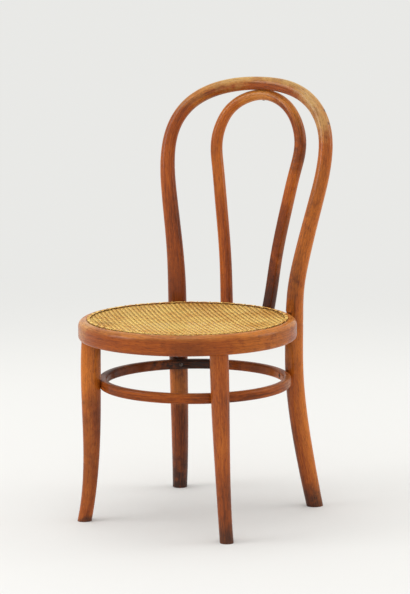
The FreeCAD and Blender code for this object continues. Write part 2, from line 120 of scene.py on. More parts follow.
# The studio: floor, wall, and lamps as (name, place, width, power)
FLOOR_RADIUS = 14.0
FLOOR_COLOUR = (0.812, 0.812, 0.795)
WALL_COLOUR = (0.815, 0.815, 0.795)
# The floor turns into the wall between these distances from the chair
FLOOR_END, WALL_START = 1.3, 3.2
SKY_COLOUR = (1.0, 0.995, 0.98, 1.0)
SKY_STRENGTH = 0.86
LAMP_TARGET = (0.0, 0.0, 0.45)
LAMPS = (
    ("left_softbox", (-3.4, -3.3, 3.0), 2.8, 72.0),
    ("right_softbox", (3.2, 2.4, 2.3), 2.2, 26.0),
    ("top_softbox", (-0.3, -0.6, 4.2), 2.8, 34.0),
)

# The camera, solved from the photo: pixels for the photo, degrees for angles, metres for distances
PHOTO_WIDTH, PHOTO_HEIGHT = 410, 594
FOCAL_PIXELS = 2417.5
CENTRE_SHIFT_PIXELS = (-1.43, 0.44)
SENSOR_HEIGHT_MM = 36.0
CAMERA_AZIMUTH, CAMERA_ELEVATION, CAMERA_ROLL = 32.368, 8.929, -0.32
CAMERA_DISTANCE = 4.6353
AIM_RIGHT, AIM_HEIGHT = 0.0366, 0.434


# Sizes and colours that a user would change


class ChairSizes(bpy.types.PropertyGroup):
    strand_width: FloatProperty(
        name="Strand width", description="Width of a woven strand of cane", default=0.0021, min=0.001,
        max=0.004, precision=4, subtype="DISTANCE", unit="LENGTH",
    )
    strand_thickness: FloatProperty(
        name="Strand thickness", description="Thickness of a woven strand of cane", default=0.0005,
        min=0.0003, max=0.0009, precision=4, subtype="DISTANCE", unit="LENGTH",
    )
    hole_spacing: FloatProperty(
        name="Hole spacing", description="Distance from one pair of strands to the next", default=0.0127,
        min=0.010, max=0.016, precision=4, subtype="DISTANCE", unit="LENGTH",
    )
    pair_spread: FloatProperty(
        name="Pair spread", description="Distance between the two strands of a pair", default=0.0058,
        min=0.003, max=0.008, precision=4, subtype="DISTANCE", unit="LENGTH",
    )
    weave_radius: FloatProperty(
        name="Weave radius", description="Radius of the circle of holes in which the strands end",
        default=0.1895, min=0.1, max=0.3, precision=4, subtype="DISTANCE", unit="LENGTH",
    )
    sag: FloatProperty(
        name="Sag", description="How far the middle of the weave hangs below its edge", default=0.007,
        min=0.0, max=0.02, precision=4, subtype="DISTANCE", unit="LENGTH",
    )
    binder_width: FloatProperty(
        name="Binder width", description="Width of the cane strip round the edge of the weave",
        default=0.0056, min=0.003, max=0.009, precision=4, subtype="DISTANCE", unit="LENGTH",
    )
    ties: IntProperty(
        name="Ties", description="Number of loops that hold the binder down", default=47, min=12, max=96,
    )


class ChairColours(bpy.types.PropertyGroup):
    amber: FloatVectorProperty(
        name="Amber", description="Lightest tone of the stained wood", default=(0.600, 0.172, 0.017),
        min=0.0, max=1.0, subtype="COLOR",
    )
    russet: FloatVectorProperty(
        name="Russet", description="Middle tone of the stained wood", default=(0.335, 0.069, 0.007),
        min=0.0, max=1.0, subtype="COLOR",
    )
    umber: FloatVectorProperty(
        name="Umber", description="Darkest tone of the stained wood", default=(0.075, 0.016, 0.004),
        min=0.0, max=1.0, subtype="COLOR",
    )
    # Also painted as a sheen on the shoulders of the back
    wear_and_sheen: FloatVectorProperty(
        name="Worn wood", description="Bare wood where the finish has rubbed through",
        default=(0.620, 0.390, 0.140), min=0.0, max=1.0, subtype="COLOR",
    )
    # Also painted as shade under the seat ring and on the shaded side of the hoop
    grime_and_shade: FloatVectorProperty(
        name="Grime", description="Old dirt in corners and on the feet", default=(0.022, 0.012, 0.009),
        min=0.0, max=1.0, subtype="COLOR",
    )
    cane_light: FloatVectorProperty(
        name="Light cane", description="Lightest tone of the cane", default=(1.0, 0.71, 0.205),
        min=0.0, max=1.0, subtype="COLOR",
    )
    cane_dark: FloatVectorProperty(
        name="Dark cane", description="Darkest tone of the cane's bark", default=(0.61, 0.275, 0.048),
        min=0.0, max=1.0, subtype="COLOR",
    )
    # Painted shade on the sides and undersides of the strands, together with their darkening with age
    cane_edge_and_shade: FloatVectorProperty(
        name="Cane edge", description="Cut edges and underside of the strands, dark with age",
        default=(0.065, 0.024, 0.007), min=0.0, max=1.0, subtype="COLOR",
    )


# Shader nodes


def add_node(tree, kind, inputs=None, **settings):
    """A node with its settings and inputs. An input that is a socket is linked, any other is a value."""
    node = tree.nodes.new(kind)
    for name, value in settings.items():
        setattr(node, name, value)
    for name, value in (inputs or {}).items():
        if isinstance(value, bpy.types.NodeSocket):
            tree.links.new(value, node.inputs[name])
        else:
            node.inputs[name].default_value = value
    return node


def math_node(tree, operation, first, second=0.0, third=0.0, clamp=False):
    inputs = {0: first, 1: second, 2: third}
    return add_node(tree, "ShaderNodeMath", inputs, operation=operation, use_clamp=clamp).outputs[0]


def mix_colour(tree, factor, first, second, blend="MIX"):
    node = tree.nodes.new("ShaderNodeMix")
    node.data_type = "RGBA"
    node.blend_type = blend
    node.clamp_factor = True
    for index, value in ((0, factor), (6, first), (7, second)):
        if isinstance(value, bpy.types.NodeSocket):
            tree.links.new(value, node.inputs[index])
        elif index:
            node.inputs[index].default_value = (*value[:3], 1.0)
        else:
            node.inputs[index].default_value = value
    return node.outputs[2]


def soft_step(tree, value, start, end, low=0.0, high=1.0):
    """Smooth change from low to high as a value goes from start to end."""
    inputs = {"Value": value, "From Min": start, "From Max": end, "To Min": low, "To Max": high}
    return add_node(tree, "ShaderNodeMapRange", inputs, interpolation_type="SMOOTHSTEP").outputs[0]


def noise(tree, vector, scale, detail=2.0, roughness=0.5, distortion=0.0):
    inputs = {
        "Vector": vector, "Scale": scale, "Detail": detail, "Roughness": roughness, "Distortion": distortion,
    }
    return add_node(tree, "ShaderNodeTexNoise", inputs).outputs[0]


def stretched(tree, vector, scale):
    return add_node(tree, "ShaderNodeMapping", {"Vector": vector, "Scale": scale}).outputs[0]


def blend_values(tree, first, first_share, second, second_share):
    """Sum of the shares of two values."""
    return math_node(
        tree, "ADD", math_node(tree, "MULTIPLY", first, first_share),
        math_node(tree, "MULTIPLY", second, second_share),
    )


def new_group(name, inputs, outputs):
    """A shader group. Inputs and outputs are (name, type) or (name, type, default)."""
    group = bpy.data.node_groups.new(name, "ShaderNodeTree")
    for name, kind, *default in inputs:
        socket = group.interface.new_socket(name, in_out="INPUT", socket_type=kind)
        if default:
            socket.default_value = default[0]
    for name, kind in outputs:
        group.interface.new_socket(name, in_out="OUTPUT", socket_type=kind)
    start = group.nodes.new("NodeGroupInput")
    end = group.nodes.new("NodeGroupOutput")
    return group, start, end


def use_group(tree, group, **inputs):
    node = tree.nodes.new("ShaderNodeGroup")
    node.node_tree = bpy.data.node_groups[group]
    for name, value in inputs.items():
        socket = node.inputs[name.replace("_", " ").capitalize()]
        if isinstance(value, bpy.types.NodeSocket):
            tree.links.new(value, socket)
        else:
            socket.default_value = value
    return node.outputs


def make_figure_group():
    """Figure of beech: fine fibres, short dark flecks and broad changes of tone, drawn out along the rod."""
    group, start, end = new_group(
        "Beech figure",
        [("Place", "NodeSocketVector"), ("Seed", "NodeSocketFloat", 0.0)],
        [("Fibre", "NodeSocketFloat"), ("Fleck", "NodeSocketFloat"), ("Tone", "NodeSocketFloat")],
    )
    seed = start.outputs["Seed"]
    shift = add_node(group, "ShaderNodeCombineXYZ", {"X": seed, "Y": 0.0, "Z": seed})
    place = add_node(
        group, "ShaderNodeVectorMath", {0: start.outputs["Place"], 1: shift.outputs[0]}, operation="ADD",
    ).outputs[0]
    fibre = noise(group, stretched(group, place, (900.0, 900.0, 45.0)), 1.0, 3.0, 0.7)
    streak = noise(group, stretched(group, place, (330.0, 330.0, 9.0)), 1.0, 2.0, 0.5)
    both = blend_values(group, fibre, 0.65, streak, 0.35)
    group.links.new(soft_step(group, both, 0.36, 0.64), end.inputs["Fibre"])
    fleck = noise(group, stretched(group, place, (620.0, 620.0, 110.0)), 1.0, 2.0, 0.65)
    group.links.new(soft_step(group, fleck, 0.54, 0.64), end.inputs["Fleck"])
    tone = noise(group, stretched(group, place, (22.0, 22.0, 5.0)), 1.0, 3.0, 0.5, 0.2)
    group.links.new(soft_step(group, tone, 0.3, 0.7), end.inputs["Tone"])


def make_patch_group():
    """Ragged spot round a point."""
    group, start, end = new_group(
        "Patch",
        [
            ("Position", "NodeSocketVector"), ("Centre", "NodeSocketVector"),
            ("Size", "NodeSocketFloat", 0.02), ("Softness", "NodeSocketFloat", 0.5),
            ("Raggedness", "NodeSocketFloat", 0.3),
        ],
        [("Mask", "NodeSocketFloat")],
    )
    position = start.outputs["Position"]
    offset = add_node(
        group, "ShaderNodeVectorMath", {0: position, 1: start.outputs["Centre"]}, operation="DISTANCE",
    ).outputs["Value"]
    share = math_node(group, "DIVIDE", offset, start.outputs["Size"])
    ragged = math_node(group, "SUBTRACT", noise(group, position, 70.0, 3.0, 0.6), 0.5)
    swing = math_node(group, "MULTIPLY", ragged, start.outputs["Raggedness"])
    share = math_node(group, "ADD", share, math_node(group, "MULTIPLY", swing, 4.0))
    inner = math_node(group, "SUBTRACT", 1.0, start.outputs["Softness"])
    mask = add_node(
        group, "ShaderNodeMapRange",
        {"Value": share, "From Min": inner, "From Max": 1.0, "To Min": 1.0, "To Max": 0.0},
        interpolation_type="SMOOTHSTEP",
    ).outputs[0]
    group.links.new(mask, end.inputs["Mask"])


def make_ring_place_group():
    """Place on a ring as if it was straight: across, upright and along. Positions are from its middle."""
    group, start, end = new_group(
        "Ring place",
        [("Position", "NodeSocketVector"), ("Radius", "NodeSocketFloat", 0.2)],
        [("Place", "NodeSocketVector")],
    )
    parts = add_node(group, "ShaderNodeSeparateXYZ", {"Vector": start.outputs["Position"]}).outputs
    squares = [math_node(group, "POWER", part, 2.0) for part in parts[:2]]
    reach = math_node(group, "SQRT", math_node(group, "ADD", *squares))
    turn = math_node(group, "ARCTAN2", parts[0], math_node(group, "MULTIPLY", parts[1], -1.0))
    along = math_node(group, "MULTIPLY", turn, start.outputs["Radius"])
    place = add_node(
        group, "ShaderNodeCombineXYZ",
        {"X": math_node(group, "SUBTRACT", reach, start.outputs["Radius"]), "Y": parts[2], "Z": along},
    ).outputs[0]
    group.links.new(place, end.inputs["Place"])


def make_cane_group():
    """Tone of cane: it changes from strand to strand and slowly along each, and has thin lines."""
    group, start, end = new_group(
        "Cane tone",
        [("Position", "NodeSocketVector"), ("Turn", "NodeSocketVector")],
        [("Tone", "NodeSocketFloat"), ("Line", "NodeSocketFloat")],
    )
    turned = add_node(
        group, "ShaderNodeMapping", {"Vector": start.outputs["Position"], "Rotation": start.outputs["Turn"]},
    ).outputs[0]
    strand = noise(group, stretched(group, turned, (190.0, 9.0, 9.0)), 1.0, 1.0, 0.5)
    patch = noise(group, stretched(group, turned, (22.0, 22.0, 22.0)), 1.0, 3.0, 0.6)
    both = blend_values(group, strand, 0.6, patch, 0.4)
    group.links.new(soft_step(group, both, 0.34, 0.66), end.inputs["Tone"])
    line = noise(group, stretched(group, turned, (3200.0, 60.0, 60.0)), 1.0, 2.0, 0.6)
    group.links.new(soft_step(group, line, 0.35, 0.75), end.inputs["Line"])


def new_material(name, metallic=0.0, roughness=0.5, coat=0.0, coat_roughness=0.3, specular=0.5):
    material = bpy.data.materials.new(name)
    material.use_nodes = True
    tree = material.node_tree
    shader = tree.nodes["Principled BSDF"]
    shader.inputs["Metallic"].default_value = metallic
    shader.inputs["Roughness"].default_value = roughness
    shader.inputs["Coat Weight"].default_value = coat
    shader.inputs["Coat Roughness"].default_value = coat_roughness
    shader.inputs["Specular IOR Level"].default_value = specular
    return material, tree, shader


def bump(tree, shader, height, distance, strength=1.0):
    node = add_node(tree, "ShaderNodeBump", {"Height": height, "Distance": distance, "Strength": strength})
    tree.links.new(node.outputs[0], shader.inputs["Normal"])


def object_position(tree):
    return add_node(tree, "ShaderNodeTexCoord").outputs["Object"]


def centred(tree, position, centre):
    return add_node(
        tree, "ShaderNodeMapping", {"Vector": position, "Location": tuple(-value for value in centre)},
    ).outputs[0]


def part_of(tree, vector, index):
    """One coordinate of a vector: 0 for x, 1 for y, 2 for z."""
    return add_node(tree, "ShaderNodeSeparateXYZ", {"Vector": vector}).outputs[index]


def upward(tree, start, end):
    """Mask of the faces by how far they look upwards: 0 at the start and 1 at the end."""
    normal = add_node(tree, "ShaderNodeNewGeometry").outputs["Normal"]
    return soft_step(tree, part_of(tree, normal, 2), start, end)


def patch_mask(tree, position, centre, size, softness, raggedness):
    return use_group(
        tree, "Patch", position=position, centre=centre, size=size, softness=softness, raggedness=raggedness,
    )["Mask"]


def seen_directly(tree):
    """1 for rays of the camera and of shiny or clear faces, 0 for the rays that light the scene."""
    rays = add_node(tree, "ShaderNodeLightPath").outputs
    seen = math_node(tree, "MAXIMUM", rays["Is Camera Ray"], rays["Is Glossy Ray"])
    return math_node(tree, "MAXIMUM", seen, rays["Is Transmission Ray"])


def make_wood(
    name, place_of, seed, warmth, contrast=1.0, patches=(), foot=0.0, roughness=0.5, worn_and_lit_top=None, grain=0.8,
    painted_side_shading=0.0, coat=0.45,
):
    """Stained and shellacked beech.

    place_of gives the place along the straight grain. worn_and_lit_top is the tone of faces that look upwards,
    which stands for wear and for painted light from above, the height from which it starts, the height at which
    it is full, and how much. foot is the height up to which the wood is grimy. grain is how strongly fibres and
    flecks show. painted_side_shading is how much lighter the outside of a bent rod is painted than its inside,
    as painted light on the outside and painted shade on the inside. coat is the strength of the shellac.
    """
    colours = bpy.context.scene.chair_colours
    material, tree, shader = new_material(
        name, roughness=roughness, specular=0.05, coat=coat, coat_roughness=0.13,
    )
    position = object_position(tree)
    place = place_of(tree, position)
    figure = use_group(tree, "Beech figure", place=place, seed=seed)
    tone = math_node(tree, "MULTIPLY_ADD", figure["Tone"], 0.40 * contrast, warmth - 0.20 * contrast)
    tone = math_node(tree, "SUBTRACT", tone, 0.20 * grain)
    tone = math_node(tree, "MULTIPLY_ADD", figure["Fibre"], 0.40 * grain, tone)
    # Painted light and shade across a bent rod: its outside is painted lighter and its inside darker
    if painted_side_shading:
        side = part_of(tree, place, 1)
        tone = math_node(tree, "ADD", tone, soft_step(tree, side, -0.012, 0.013, -painted_side_shading / 2, painted_side_shading / 2))
    colour = mix_colour(tree, soft_step(tree, tone, 0.0, 0.5), colours.umber, colours.russet)
    colour = mix_colour(tree, soft_step(tree, tone, 0.35, 1.0), colour, colours.amber)
    paints = {kind: getattr(colours, kind) for kind in USER_TONES} | WOOD_TONES
    streaky = math_node(tree, "MULTIPLY_ADD", figure["Fibre"], 0.5, 0.6)
    # Faces that look upwards are painted lighter above a height: painted light from above, together with wear
    if worn_and_lit_top:
        kind, start, end, strength = worn_and_lit_top
        reached = soft_step(tree, part_of(tree, position, 2), start, end)
        mask = math_node(tree, "MULTIPLY", reached, upward(tree, -0.1, 0.9))
        blotch = soft_step(tree, noise(tree, position, 28.0, 3.0, 0.6), 0.25, 0.65, 0.35, 1.0)
        mask = math_node(tree, "MULTIPLY", mask, math_node(tree, "MULTIPLY", blotch, strength))
        mask = math_node(tree, "MULTIPLY", mask, streaky, clamp=True)
        colour = mix_colour(tree, mask, colour, paints[kind])
    # Patches paint the wood's own tones, marks and wear, and also painted light and painted shade, as noted where
    # they are listed
    for kind, centre, size, softness, raggedness, strength in patches:
        mask = patch_mask(tree, position, centre, size, softness, raggedness)
        mask = math_node(tree, "MULTIPLY", mask, math_node(tree, "MULTIPLY", streaky, strength), clamp=True)
        colour = mix_colour(tree, mask, colour, paints[kind])
    flecks = math_node(tree, "MULTIPLY", figure["Fleck"], 0.5 * grain)
    colour = mix_colour(tree, flecks, colour, colours.umber)
    if foot:
        ragged = math_node(tree, "MULTIPLY_ADD", noise(tree, position, 60.0, 3.0, 0.6), 0.05, -0.025)
        dirt = soft_step(tree, math_node(tree, "ADD", part_of(tree, position, 2), ragged), foot, 0.0)
        colour = mix_colour(tree, math_node(tree, "MULTIPLY", dirt, 0.8), colour, colours.grime_and_shade)
    # Painted highlight: seen at a low angle, the wood is painted in a lighter tone
    facing = add_node(tree, "ShaderNodeLayerWeight", {"Blend": 0.4}).outputs["Facing"]
    rim = math_node(tree, "MULTIPLY", soft_step(tree, facing, 0.3, 0.95), 0.4)
    colour = mix_colour(tree, rim, colour, RIM_HIGHLIGHT_TINT, "MULTIPLY")
    tree.links.new(colour, shader.inputs["Base Color"])
    uneven = noise(tree, position, 30.0, 3.0, 0.6)
    uneven = soft_step(tree, uneven, 0.3, 0.7, roughness - 0.08, roughness + 0.12)
    tree.links.new(uneven, shader.inputs["Roughness"])
    fibres = math_node(tree, "MULTIPLY", figure["Fibre"], 0.4)
    bump(tree, shader, math_node(tree, "MULTIPLY_ADD", figure["Fleck"], -0.6, fibres), 0.0002, 0.5)
    return material


def rod_place(tree, position):
    """Place on the straight rod before it was bent, which the piece carries as an attribute."""
    return add_node(tree, "ShaderNodeAttribute", attribute_name="straight_place").outputs["Vector"]


def ring_place(radius, centre):
    def place(tree, position):
        level = centred(tree, position, centre)
        return use_group(tree, "Ring place", position=level, radius=radius)["Place"]
    return place


def plain_place(tree, position):
    return position


def make_cane(name, turn, patches=()):
    """Cane with its bark upwards. Its tone changes across the strands, which are turned by the angle turn."""
    colours = bpy.context.scene.chair_colours
    material, tree, shader = new_material(name, roughness=0.55, specular=0.18)
    position = object_position(tree)
    tone = use_group(tree, "Cane tone", position=position, turn=(0.0, 0.0, turn))
    colour = mix_colour(tree, tone["Tone"], colours.cane_dark, colours.cane_light)
    for kind, centre, size, softness, raggedness, strength in patches:
        mask = patch_mask(tree, position, centre, size, softness, raggedness)
        mask = math_node(tree, "MULTIPLY", mask, strength, clamp=True)
        colour = mix_colour(tree, mask, colour, CANE_TONES[kind])
    colour = mix_colour(tree, math_node(tree, "MULTIPLY", tone["Line"], 0.25), colour, colours.cane_dark)
    # The sides and undersides of the strands are painted dark: painted shade, together with darkening with age
    colour = mix_colour(tree, upward(tree, 0.7, 0.2), colour, colours.cane_edge_and_shade)
    tree.links.new(colour, shader.inputs["Base Color"])
    bump(tree, shader, tone["Line"], 0.00015, 0.4)
    return material


def make_steel(name, tint):
    material, tree, shader = new_material(name, metallic=0.85, roughness=0.45)
    position = object_position(tree)
    rust = noise(tree, position, 260.0, 4.0, 0.65)
    colour = mix_colour(tree, soft_step(tree, rust, 0.35, 0.65), tint, RUST_COLOUR)
    tree.links.new(colour, shader.inputs["Base Color"])
    tree.links.new(soft_step(tree, rust, 0.3, 0.7, 0.35, 0.7), shader.inputs["Roughness"])
    bump(tree, shader, rust, 0.0001, 0.4)
    return material


# Meshes


def paint(piece, material):
    piece.data.materials.clear()
    piece.data.materials.append(material)


def deselect_all():
    if bpy.context.mode != "OBJECT":
        bpy.ops.object.mode_set(mode="OBJECT")
    bpy.ops.object.select_all(action="DESELECT")


def make_active(piece):
    deselect_all()
    piece.select_set(True)
    bpy.context.view_layer.objects.active = piece


def finish_piece(piece, name, slot, *nodes):
    """Name the piece, let it ride with the chair and stand for its solids."""
    piece.name = name
    piece.data.name = name
    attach(piece, "root")
    if nodes:
        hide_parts(*nodes)
    return piece


def merged_copy(node):
    """Copy of a solid's mesh with its loose triangles merged."""
    make_active(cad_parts[node])
    bpy.ops.object.duplicate()
    copy = bpy.context.view_layer.objects.active
    for key in list(copy.keys()):
        if key.startswith("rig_"):
            del copy[key]
    copy.parent = None
    bpy.ops.object.mode_set(mode="EDIT")
    bpy.ops.mesh.customdata_custom_splitnormals_clear()
    bpy.ops.mesh.select_all(action="SELECT")
    bpy.ops.mesh.remove_doubles(threshold=MERGE_DISTANCE)
    bpy.ops.object.mode_set(mode="OBJECT")
    bpy.ops.object.shade_smooth_by_angle(angle=ROD_SMOOTH_ANGLE)
    return copy


def smooth_line(points):
    """Many points along a smooth line through a few."""
    points = np.array(points)
    steps = np.linalg.norm(np.diff(points, axis=0), axis=1)
    knots = np.concatenate([[0.0], np.cumsum(steps)])
    slopes = np.gradient(points, knots, axis=0)
    at = np.linspace(0.0, knots[-1], LINE_SAMPLES)
    span = np.clip(np.searchsorted(knots, at, side="right") - 1, 0, len(knots) - 2)
    width = (knots[span + 1] - knots[span])[:, None]
    t = ((at - knots[span])[:, None]) / width
    start, end = points[span], points[span + 1]
    first, last = slopes[span] * width, slopes[span + 1] * width
    return (
        (2 * t ** 3 - 3 * t ** 2 + 1) * start + (t ** 3 - 2 * t ** 2 + t) * first
        + (-2 * t ** 3 + 3 * t ** 2) * end + (t ** 3 - t ** 2) * last
    )


def lay_straight(piece, line):
    """Give each point of a bent rod its place on the straight rod, as the attribute straight_place."""
    line = smooth_line(line)
    steps = np.linalg.norm(np.diff(line, axis=0), axis=1)
    along = np.concatenate([[0.0], np.cumsum(steps)])
    tangent = np.gradient(line, axis=0)
    tangent /= np.linalg.norm(tangent, axis=1)[:, None]
    outward = np.stack([line[:, 0], np.full(len(line), OUTSIDE_REARWARD), np.zeros(len(line))], 1)
    outward -= tangent * (outward * tangent).sum(1)[:, None]
    outward /= np.linalg.norm(outward, axis=1)[:, None]
    sideways = np.cross(tangent, outward)
    mesh = piece.data
    points = np.empty(len(mesh.vertices) * 3)
    mesh.vertices.foreach_get("co", points)
    points = points.reshape(-1, 3)
    places = np.empty_like(points)
    for first in range(0, len(points), POINTS_AT_ONCE):
        chunk = slice(first, first + POINTS_AT_ONCE)
        part = points[chunk]
        nearest = ((part[:, None, :] - line[None]) ** 2).sum(2).argmin(1)
        offset = part - line[nearest]
        shift = (offset * tangent[nearest]).sum(1)
        places[chunk, 0] = (offset * sideways[nearest]).sum(1)
        places[chunk, 1] = (offset * outward[nearest]).sum(1)
        places[chunk, 2] = along[nearest] + shift
    attribute = mesh.attributes.new("straight_place", "FLOAT_VECTOR", "POINT")
    attribute.data.foreach_set("vector", places.astype(np.float32).ravel())


def mirrored_line(points):
    """The whole line of a rod that is given from its crown to its right end."""
    left = [(-x, y, z) for x, y, z in points[:0:-1]]
    return left + list(points)


def strip_profile(name, width, thickness):
    """Section of a strip of cane: flat below and slightly domed above."""
    curve = bpy.data.curves.new(name, "CURVE")
    curve.dimensions = "2D"
    outline = (
        (-0.5, -0.5), (0.5, -0.5), (0.5, 0.1), (0.34, 0.42), (0.0, 0.5), (-0.34, 0.42), (-0.5, 0.1),
    )
    spline = curve.splines.new("POLY")
    spline.points.add(len(outline) - 1)
    for point, (x, y) in zip(spline.points, outline):
        point.co = (x * width, y * thickness, 0.0, 1.0)
    spline.use_cyclic_u = True
    profile = bpy.data.objects.new(name, curve)
    bpy.context.scene.collection.objects.link(profile)
    return profile


def strips(name, lines, profile, closed=False):
    """Strips of cane along lines of points, as one mesh."""
    curve = bpy.data.curves.new(name, "CURVE")
    curve.dimensions = "3D"
    curve.twist_mode = "Z_UP"
    curve.bevel_mode = "OBJECT"
    curve.bevel_object = profile
    curve.use_fill_caps = True
    for points in lines:
        spline = curve.splines.new("POLY")
        spline.points.add(len(points) - 1)
        flat = np.ones((len(points), 4))
        flat[:, :3] = points
        spline.points.foreach_set("co", flat.ravel())
        spline.use_cyclic_u = closed
        spline.use_smooth = True
    piece = bpy.data.objects.new(name, curve)
    bpy.context.scene.collection.objects.link(piece)
    make_active(piece)
    bpy.ops.object.convert(target="MESH")
    piece = bpy.context.view_layer.objects.active
    bpy.ops.object.mode_set(mode="EDIT")
    bpy.ops.mesh.select_all(action="SELECT")
    bpy.ops.mesh.normals_make_consistent(inside=False)
    bpy.ops.object.mode_set(mode="OBJECT")
    bpy.ops.object.shade_smooth_by_angle(angle=STRIP_SMOOTH_ANGLE)
    return piece


def weave_levels():
    """Heights of the middle of a strand at the bottom, in the middle and on top of the weave."""
    sizes = bpy.context.scene.chair_sizes
    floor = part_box("cane_front_to_back")[0].z
    lowest = floor + sizes.strand_thickness * LOWEST_LEVEL
    rise = sizes.strand_thickness * LEVEL_RISE
    return lowest, lowest + rise, lowest + 2 * rise


def hang(x, y, z):
    """Point of the weave, lower by the sag of the seat there."""
    sizes = bpy.context.scene.chair_sizes
    share = 1.0 - (x ** 2 + y ** 2) / sizes.weave_radius ** 2
    return x, SEAT_Y + y, z - sizes.sag * max(share, 0.0)


def straight_strand_knots(half, spread, pitch, over_first):
    """Distances and levels along a strand of a pair: 0 where it passes under, 2 where over, 1 half way."""
    knots = []
    cells = int(half / pitch) + 2
    for cell in range(-cells, cells + 1):
        middle = cell * pitch
        knots.append((middle - spread / 2, 2 if over_first else 0))
        knots.append((middle, 1))
        knots.append((middle + spread / 2, 0 if over_first else 2))
        knots.append((middle + pitch / 2, 1))
    return knots


def strand_points(knots, half, levels, place):
    """Points of one strand, cut off at both ends of its chord, where it dips into its hole."""
    inside = [(at, level) for at, level in knots if abs(at) < half - BEND_ROOM]
    points = [place(at, levels[level]) for at, level in inside]
    low = levels[0] - END_DIP
    return [place(-half, low)] + points + [place(half, low)]


# Stage


def make_floor():
    """Pale floor that turns into the wall with distance, for what the camera sees of it."""
    deselect_all()
    bpy.ops.mesh.primitive_circle_add(
        vertices=96, radius=FLOOR_RADIUS, fill_type="NGON", location=(0.0, 0.0, 0.0),
    )
    floor = bpy.context.view_layer.objects.active
    floor.name = "studio_floor"
    material = bpy.data.materials.new("Studio floor")
    material.use_nodes = True
    tree = material.node_tree
    tree.nodes.clear()
    position = object_position(tree)
    away = add_node(tree, "ShaderNodeVectorMath", {0: position}, operation="LENGTH").outputs["Value"]
    far = soft_step(tree, away, FLOOR_END, WALL_START)
    diffuse = add_node(tree, "ShaderNodeBsdfDiffuse", {"Color": (*FLOOR_COLOUR, 1.0)}).outputs[0]
    glow = add_node(tree, "ShaderNodeEmission", {"Color": (*WALL_COLOUR, 1.0), "Strength": 1.0}).outputs[0]
    share = math_node(tree, "MULTIPLY", far, seen_directly(tree))
    mixed = add_node(tree, "ShaderNodeMixShader", {0: share, 1: diffuse, 2: glow}).outputs[0]
    output = add_node(tree, "ShaderNodeOutputMaterial", {"Surface": mixed})
    tree.nodes.active = output
    paint(floor, material)


def make_surroundings():
    """Even soft light from all round, and the plain wall that the camera sees."""
    scene = bpy.context.scene
    world = scene.world or bpy.data.worlds.new("Studio")
    scene.world = world
    world.use_nodes = True
    tree = world.node_tree
    tree.nodes.clear()
    light = add_node(tree, "ShaderNodeBackground", {"Color": SKY_COLOUR, "Strength": SKY_STRENGTH}).outputs[0]
    shown = add_node(tree, "ShaderNodeBackground", {"Color": (*WALL_COLOUR, 1.0), "Strength": 1.0}).outputs[0]
    mixed = add_node(tree, "ShaderNodeMixShader", {0: seen_directly(tree), 1: light, 2: shown}).outputs[0]
    add_node(tree, "ShaderNodeOutputWorld", {"Surface": mixed})


def make_lamps():
    for name, place, width, power in LAMPS:
        lamp = bpy.data.lights.new(name, "AREA")
        lamp.shape = "SQUARE"
        lamp.size = width
        lamp.energy = power
        lamp_object = bpy.data.objects.new(name, lamp)
        bpy.context.scene.collection.objects.link(lamp_object)
        lamp_object.location = place
        towards = Vector(LAMP_TARGET) - Vector(place)
        lamp_object.rotation_euler = towards.to_track_quat("-Z", "Y").to_euler()


def make_camera():
    azimuth, elevation = math.radians(CAMERA_AZIMUTH), math.radians(CAMERA_ELEVATION)
    roll = math.radians(CAMERA_ROLL)
    back = Vector((
        math.sin(azimuth) * math.cos(elevation), -math.cos(azimuth) * math.cos(elevation),
        math.sin(elevation),
    ))
    right = Vector((math.cos(azimuth), math.sin(azimuth), 0.0))
    up = back.cross(right)
    rolled_right = math.cos(roll) * right + math.sin(roll) * up
    rolled_up = math.cos(roll) * up - math.sin(roll) * right
    aim = AIM_RIGHT * right + Vector((0.0, SEAT_Y, AIM_HEIGHT))
    place = aim + CAMERA_DISTANCE * back
    data = bpy.data.cameras.new("camera")
    data.sensor_fit = "VERTICAL"
    data.sensor_height = SENSOR_HEIGHT_MM
    data.sensor_width = SENSOR_HEIGHT_MM * PHOTO_WIDTH / PHOTO_HEIGHT
    data.lens = FOCAL_PIXELS * SENSOR_HEIGHT_MM / PHOTO_HEIGHT
    data.shift_x = CENTRE_SHIFT_PIXELS[0] / PHOTO_HEIGHT
    data.shift_y = CENTRE_SHIFT_PIXELS[1] / PHOTO_HEIGHT
    data.clip_end = 100.0
    camera = bpy.data.objects.new("camera", data)
    bpy.context.scene.collection.objects.link(camera)
    camera.matrix_world = Matrix((
        (rolled_right.x, rolled_up.x, back.x, place.x),
        (rolled_right.y, rolled_up.y, back.y, place.y),
        (rolled_right.z, rolled_up.z, back.z, place.z),
        (0.0, 0.0, 0.0, 1.0),
    ))
    bpy.context.scene.camera = camera


# Operators


class CHAIR_OT_materials(bpy.types.Operator):
    """Build the shader groups that the wood and the cane share"""

    bl_idname = "chair.materials"
    bl_label = "Shader groups"

    def execute(self, context):
        make_figure_group()
        make_patch_group()
        make_ring_place_group()
        make_cane_group()
        return {"FINISHED"}


